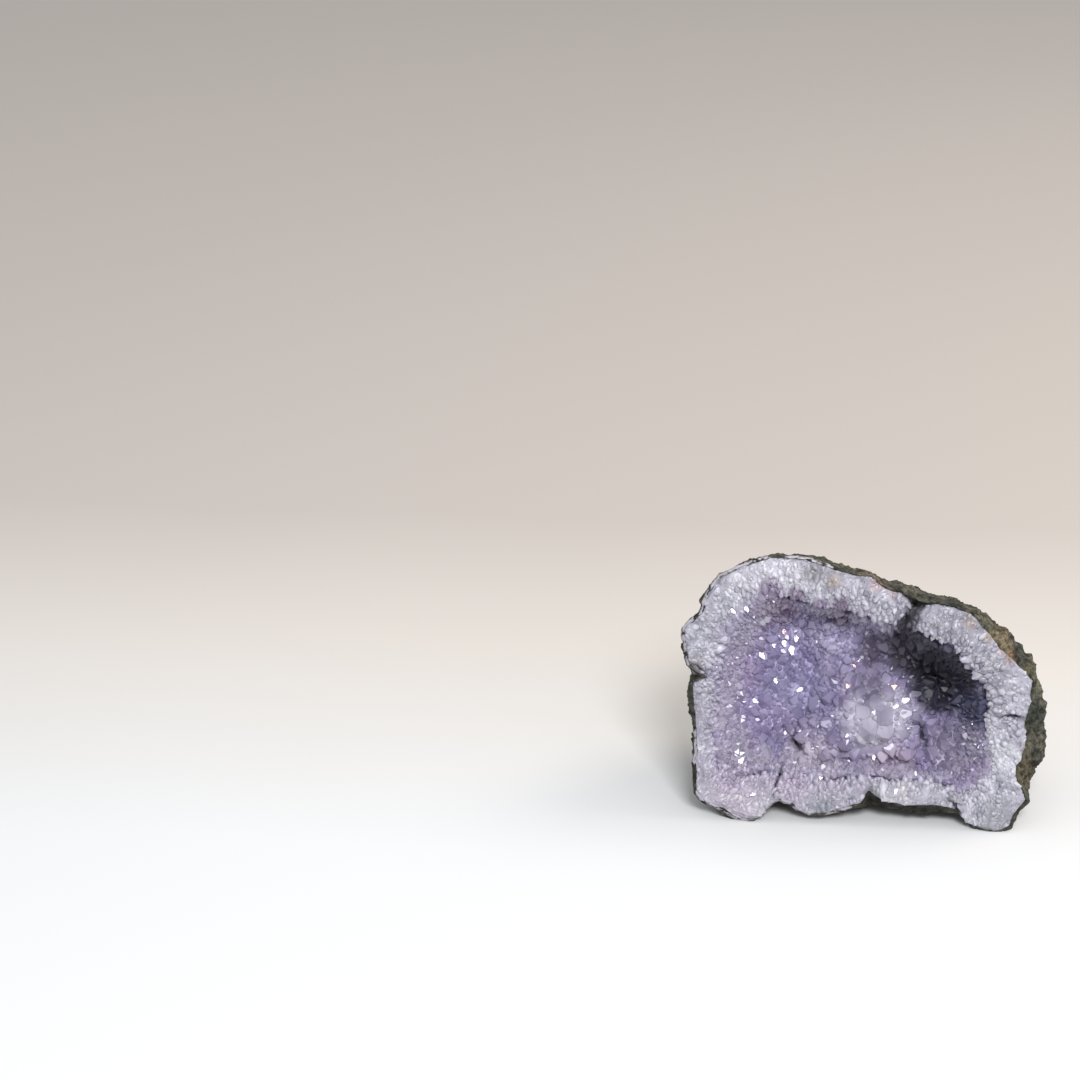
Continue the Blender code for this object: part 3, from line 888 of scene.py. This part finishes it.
def faces_hollow(centre, normal):
    return normal.dot(HOLLOW_HEART - centre) > 0


crust = copy_of_node("amethyst_crust", "amethyst_crust_bed")
fatten_back(crust, lambda centre, normal: not faces_hollow(centre, normal))
select_faces(crust, faces_hollow)
bpy.ops.mesh.vertices_smooth(factor=0.5, repeat=12)
bpy.ops.mesh.subdivide(number_cuts=1, smoothness=0.5)
bpy.ops.object.mode_set(mode="OBJECT")
push_in_cracks(crust)
crust.data.update()
bed_faces = surface(crust, faces_hollow)
crust.data.materials.append(amethyst("amethyst_root", 0.0, 0.0))
print("area of the hollow:", round(bed_faces[2].sum() / MM**2), "mm2")

# %% [markdown]
# The band and the crust grew into each other, so their colours run together over a few
# millimetres: a long way at the left, and hardly at all at the dark pocket on the right. Each
# point's distance to the other layer decides, and a k-d tree finds it fast.

# %% From pale to purple
TONE_OF_BED = 0.4


def flat_tree(corners):
    """Finds the nearest of these places as they lie in the mouth, whatever their depth."""
    spots = np.unique(corners.reshape(-1, 3), axis=0)
    tree = kdtree.KDTree(len(spots))
    for i, spot_place in enumerate(spots):
        u, v, _ = in_mouth(spot_place)
        tree.insert((u, v, 0), i)
    tree.balance()
    return tree


band_tree = flat_tree(surface(quartz, broken_face)[0])
crust_tree = flat_tree(bed_faces[0])


def smooth(x):
    x = min(max(x, 0.0), 1.0)
    return x * x * (3 - 2 * x)


def run_in(tree, place):
    """How far, from 0 to 1, a place is through the zone where the colours run together."""
    u, v, _ = in_mouth(place)
    from_middle = math.hypot(u, v)
    # In mm: longest at the lower left, shortest at the upper right
    reach = (4.5 - 3.7 * u / from_middle) * (1 - 0.4 * v / from_middle)
    wander = 0.4 * noise.noise(Vector(place) / (4 * MM))
    return smooth(tree.find((u, v, 0))[2] / reach + wander)


def crust_grade(place):
    return 0.2 + 0.8 * run_in(band_tree, place)


def band_grade(place):
    return 0.45 * (1 - run_in(crust_tree, place))


for piece, grade_at in ((crust, crust_grade), (quartz, band_grade)):
    write_numbers(piece, "grade", [grade_at(v.co) for v in piece.data.vertices])
    write_numbers(piece, "crack", [crack_at(v.co) for v in piece.data.vertices])
    write_numbers(piece, "tone", np.full(len(piece.data.vertices), TONE_OF_BED))
    print(piece.name, "has its grade, cracks and tone")

# %% [markdown]
# In the left half, quartz has run over the rock's thin edge, with bare places in between. It is
# a skin too thin to model, so it is a number on the rock's points, which the basalt's finish
# reads.

# %% Film of quartz
FILM_ENDS = -4  # w in mm


def film_at(place):
    u, v, w = in_mouth(place)
    right = u > -3 or (u > -12 and v > 0)
    if right or w < FILM_ENDS or noise.noise(place / (8 * MM)) > 0.35:
        return 0.0
    # It ends about 1 mm from the band, and sooner further back
    ragged = 0.5 * noise.noise(place / (2 * MM)) - 0.4 * min(w + 1, 0)
    return 1 - smooth((band_tree.find((u, v, 0))[2] + ragged - 1.0) / 0.8)


film = [film_at(v.co) for v in rock.data.vertices]
write_numbers(rock, "film", film)
print("points of rock under the film:", sum(f > 0.5 for f in film))

# %% [markdown]
# A face glints when it lies halfway between the lamp and the eye. A few crystals are turned so
# that one of their end faces does: white glints from the window, and amber ones from the small
# lamp. Where each glint stands is a place in the mouth, carried back to the bed along the line of
# sight.

# %% Where it glints
WHITE_GLINTS = (  # u, v and the crystal's width in mm
    (-47.0, 27.4, 2.8),
    (-42.3, 28.3, 3.0),
    (-36.5, 12.2, 4.0),
    (-32.2, 15.6, 2.2),
    (-28.6, 16.7, 3.4),
    (-26.0, 14.4, 4.4),
    (-24.4, 18.4, 3.2),
    (-31.3, 3.3, 2.8),
    (-22.4, 0.4, 3.2),
    (-38.3, -4.2, 3.0),
    (-42.4, -4.4, 1.8),
    (-42.6, -25.9, 3.4),
    (-14.5, -30.5, 3.4),
    (-5.4, -15.1, 2.0),
    (4.1, -22.3, 2.8),
    (14.1, -2.4, 4.0),
    (11.0, -4.6, 2.6),
    (12.2, -34.1, 2.4),
    (-37.6, -37.3, 2.4),
    (38.5, -9.6, 1.6),
)
AMBER_GLINTS = (
    (-29.0, 20.8, 2.4),
    (-3.6, 9.0, 2.4),
    (-5.9, 1.9, 2.8),
    (9.8, 2.2, 3.2),
    (-15.9, -7.1, 2.8),
)


def ray_tree(*pieces):
    """Finds where a ray meets one of the pieces."""
    grid = bmesh.new()
    for piece in pieces:
        grid.from_mesh(piece.data)
    tree = bvhtree.BVHTree.FromBMesh(grid)
    grid.free()
    return tree


sight = ray_tree(crust, quartz)


def seen_at(u, v):
    """The line of sight through u, v, and the place and normal of the surface that it meets."""
    line = (from_mouth(u, v, 0) - camera.location).normalized()
    place, normal, _, _ = sight.ray_cast(camera.location, line)
    return line, place, normal


print(len(WHITE_GLINTS), "white and", len(AMBER_GLINTS), "amber glints")

# %% [markdown]
# All glinting crystals are the model with one large end face. Each is turned until that face
# looks halfway between lamp and eye, and then about it, until the crystal stands out best.

# %% Glinting crystals
GLINT_MODEL = 3
GLINT_FLATNESS = 0.9


def end_face(model, width, height, flat):
    """The normal of the model's largest end face, stretched as the crystal is."""
    shape, sides = POINTS[model]
    local = shape[sides] * (width, width * flat, height)
    normals = np.cross(local[:, 1] - local[:, 0], local[:, 2] - local[:, 0])
    ends = [n for n in normals if 0.2 < n[2] / np.linalg.norm(n) < 0.95]
    return Vector(max(ends, key=np.linalg.norm)).normalized()


def glinting(glints, lamp_place):
    crystals, places = [], []
    for u, v, width in glints:
        line, place, normal = seen_at(u, v)
        width *= 0.8 * MM  # its light spreads a little beyond it
        height = width * 1.15
        halfway = (-line + (lamp_place - place).normalized()).normalized()
        face = end_face(GLINT_MODEL, width, height, GLINT_FLATNESS)
        first = face.rotation_difference(halfway).to_matrix()
        stands = [
            Matrix.Rotation(math.radians(a), 3, halfway) @ first for a in range(0, 360, 5)
        ]
        turn = max(stands, key=lambda m: (m @ Vector((0, 0, 1))).dot(normal))
        axis = turn @ Vector((0, 0, 1))
        root = place - axis * height * 0.35
        crystals.append((root, turn, width, height, GLINT_FLATNESS, 1.0, GLINT_MODEL))
        places.append((place, width * 1.1))
    return crystals, places


white, white_places = glinting(WHITE_GLINTS, WINDOW)
amber, amber_places = glinting(AMBER_GLINTS, AMBER)
glint_places = white_places + amber_places
print("widest glinting crystal:", round(max(c[2] for c in white + amber) / MM, 1), "mm")

# %% [markdown]
# The points crowd the whole hollow, so wide that their sides grow into each other. They are
# largest on the boss in the middle and smaller towards the rim, and small ones fill the gaps.
# Each leans a little off the bed's normal and has a size and a tone of its own, since an even
# crust would look like a cut gem.

# %% Points in the hollow
BOSS = (4, -9)  # u and v of its middle, in mm
BOSS_REACH = (17, 13)
BOSS_FOOT = -22  # w in mm


def boss_share(place):
    """1 on the boss of big pale crystals in the middle, 0 away from it."""
    u, v, w = in_mouth(place)
    away = math.hypot((u - BOSS[0]) / BOSS_REACH[0], (v - BOSS[1]) / BOSS_REACH[1])
    return 1 / (1 + away**6) if w > BOSS_FOOT else 0.0


def point_spacing(place):
    u, v, _ = in_mouth(place)
    size = 3.7 + 1.6 * boss_share(place) + 1.5 * noise.noise(place / (12 * MM))
    # Smaller within 7 mm of the band
    size -= 1.4 * (1 - smooth((band_tree.find((u, v, 0))[2] - 1) / 6))
    return max(size, 2.0) * MM


def grown(places, seed, width, height, lean, sink):
    """Crystals standing on places, each with its own size, lean and tone."""
    chance = random.Random(seed)
    crystals = []
    for place, normal, gap in places:
        tilt = Vector([chance.gauss(0, lean) for _ in range(3)])
        wide = gap * chance.uniform(*width)
        tall = wide * chance.uniform(*height)
        turn = turned((normal + tilt).normalized(), chance.uniform(0, math.tau))
        drift = 0.5 + 0.3 * noise.noise(place / (13 * MM)) + chance.gauss(0, 0.22)
        tone = min(max(drift, 0), 0.85)
        flat = chance.uniform(0.75, 1.0)
        model = chance.choice(SHARP)
        crystals.append((place - normal * sink * wide, turn, wide, tall, flat, tone, model))
    return crystals


big = scattered(bed_faces, point_spacing, 3, glint_places)
filled = [(place, 0.4 * gap) for place, _, gap in big] + glint_places
small = scattered(bed_faces, lambda place: 1.4 * MM, 4, filled)
points = joined(
    "amethyst_points",
    grown(big, 5, (1.3, 1.75), (0.85, 1.1), 0.24, 0.5)
    + grown(small, 6, (1.3, 1.9), (0.8, 1.2), 0.3, 0.36)
    + white
    + amber,
    crust_grade,
)
points.data.materials.append(amethyst("amethyst", 0.5, 100.0))
for piece in (crust, points):
    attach(piece, "root")
    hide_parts("amethyst_crust")
    report(piece)
print(len(big), "large points and", len(small), "small ones")

# %% [markdown]
# The pale band grew as columns, from the rock towards the hollow, and broke lengthwise. So its
# face is made of stubs that lie along that direction and are mostly sunk in it. They hang a
# little over the band's inner edge, so that it isn't a clean line, but at the right none stands
# over the thick rock.

# %% Growing columns
AXIS_OF_HOLLOW = (-28, 24)  # the columns point to this line, from u to u in mm
rock_tree = ray_tree(rock)


def over_rock(place):
    """Whether the rock, and not the band, lies behind a place on the rim."""
    start = place + OUT * 9 * MM
    to_rock = rock_tree.ray_cast(start, -OUT)[3]
    to_band = sight.ray_cast(start, -OUT)[3]
    return to_rock is not None and (to_band is None or to_rock < to_band)


def columns(places, seed, length, tilt_by):
    """Stubs lying on the rim. Near the hollow they are short, so that they don't cover it."""
    left, right = AXIS_OF_HOLLOW
    chance = random.Random(seed)
    crystals = []
    for place, normal, gap in places:
        u, v, _ = in_mouth(place)
        inward = (RIGHT * (min(max(u, left), right) - u) - UP * v).normalized()
        tilt = Vector([chance.gauss(0, tilt_by) for _ in range(3)])
        axis = (inward + normal * chance.uniform(0.0, 0.5) + tilt).normalized()
        wide = gap * chance.uniform(1.25, 1.8)
        # In mm over the crust's edge, most at the bottom
        overhang = 2.2 if v < -20 and u < 30 else 1.2
        room = (crust_tree.find((u, v, 0))[2] + overhang) / 0.7 * MM
        tall = min(wide * chance.uniform(*length), room)
        # Its root is back along it, and it lies sunk in the rim
        root = place + inward * 0.3 * MM - axis * tall * 0.3 - normal * wide * 0.4
        drift = 0.55 + 0.25 * noise.noise(place / (5 * MM)) + chance.gauss(0, 0.15)
        tone = min(max(drift, 0), 1)
        flat = chance.uniform(0.7, 1.0)
        turn = turned(axis, chance.uniform(0, math.tau))
        model = chance.choice(BLUNT)
        if u > 0 and (over_rock(root) or over_rock(root + axis * tall)):
            continue
        crystals.append((root, turn, wide, tall, flat, tone, model))
    return crystals


# %% [markdown]
# The rim is filled from large to small: the largest broken columns have their places listed,
# because they show at the bottom, then come the others, and then small grains between them. At
# the left and the bottom the crust ends in the rim as well, so its edge gets columns too.

# %% Columns on the rim
GRAIN = 1.0 * MM
LUMPS = (  # u, v and width in mm
    (7.5, -36.0, 4.4),
    (12.0, -36.5, 3.6),
    (17.5, -37.0, 4.0),
    (22.5, -35.5, 4.6),
    (27.5, -37.5, 3.4),
    (-37.0, -42.0, 3.8),
    (-31.5, -26.5, 5.0),
    (53.0, -22.0, 3.6),
    (49.5, -29.0, 4.0),
    (-56.0, 20.5, 4.4),
    (-53.0, 13.0, 4.0),
)


def rim_of_crust(centre, normal):
    u, v, w = in_mouth(centre)
    return normal.dot(OUT) > 0.4 and w > -7 and u < 8 and v < 18


def column_spacing(place):
    return (1.6 + 0.8 * noise.noise(place / (6 * MM))) * MM


def lump_place(u, v, width):
    """A place on the rim, its normal, and the spacing that a column of this width needs."""
    _, place, normal = seen_at(u, v)
    return place, normal, width * MM / 1.5


def joined_faces(*parts):
    return tuple(np.concatenate(arrays) for arrays in zip(*parts))


lump_places = [lump_place(*lump) for lump in LUMPS]
taken = [(place, gap) for place, _, gap in lump_places] + glint_places
rim_faces = joined_faces(surface(quartz, broken_face), surface(crust, rim_of_crust))
rim_places = lump_places + scattered(rim_faces, column_spacing, 8, taken)
filled = [(place, 0.35 * gap) for place, _, gap in rim_places] + glint_places
grain_places = scattered(rim_faces, lambda place: GRAIN, 10, filled)
stubs = joined(
    "quartz_columns",
    columns(rim_places, 9, (1.0, 2.0), 0.35) + columns(grain_places, 11, (0.8, 1.3), 0.6),
    band_grade,
)
only(stubs)
bpy.ops.object.shade_smooth_by_angle(angle=math.radians(62))
stubs.data.materials.append(quartz_finish)
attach(stubs, "root")
report(stubs)
print("places for columns:", len(rim_places), "and for grains:", len(grain_places))

# %% [markdown]
# The stone stands on plain matt paper, large enough to fill the picture. It is white near us and
# turns a little beige further back, as the surface in the photograph does.

# %% Floor
bpy.ops.object.select_all(action="DESELECT")
bpy.ops.mesh.primitive_plane_add(size=8.0, location=(0, 0, 0))
floor = bpy.context.object
floor.name = "floor"
paper, tree, shader, mouth = new_material("matt_paper")
mottle = node(tree, "TexNoise", {"Vector": mouth, "Scale": 1 / 160.0, "Detail": 2.0})
back = node(tree, "SeparateXYZ", {"Vector": node(tree, "TexCoord", {}, out="Object")}, "Y")
back = node(tree, "MapRange", {"Value": back, "From Min": -0.1, "From Max": 0.4})
back = node(tree, "Math", {0: mottle, 1: 0.08, 2: back}, operation="MULTIPLY_ADD")
stops = ((0.1, "#CED1D2"), (0.45, "#C6C2BC"), (0.75, "#B5AFA9"))
tint = node(tree, "ValToRGB", {"Fac": back}, stops=stops)
tree.links.new(tint, shader.inputs["Base Color"])
shader.inputs["Roughness"].default_value = 0.9
floor.data.materials.append(paper)
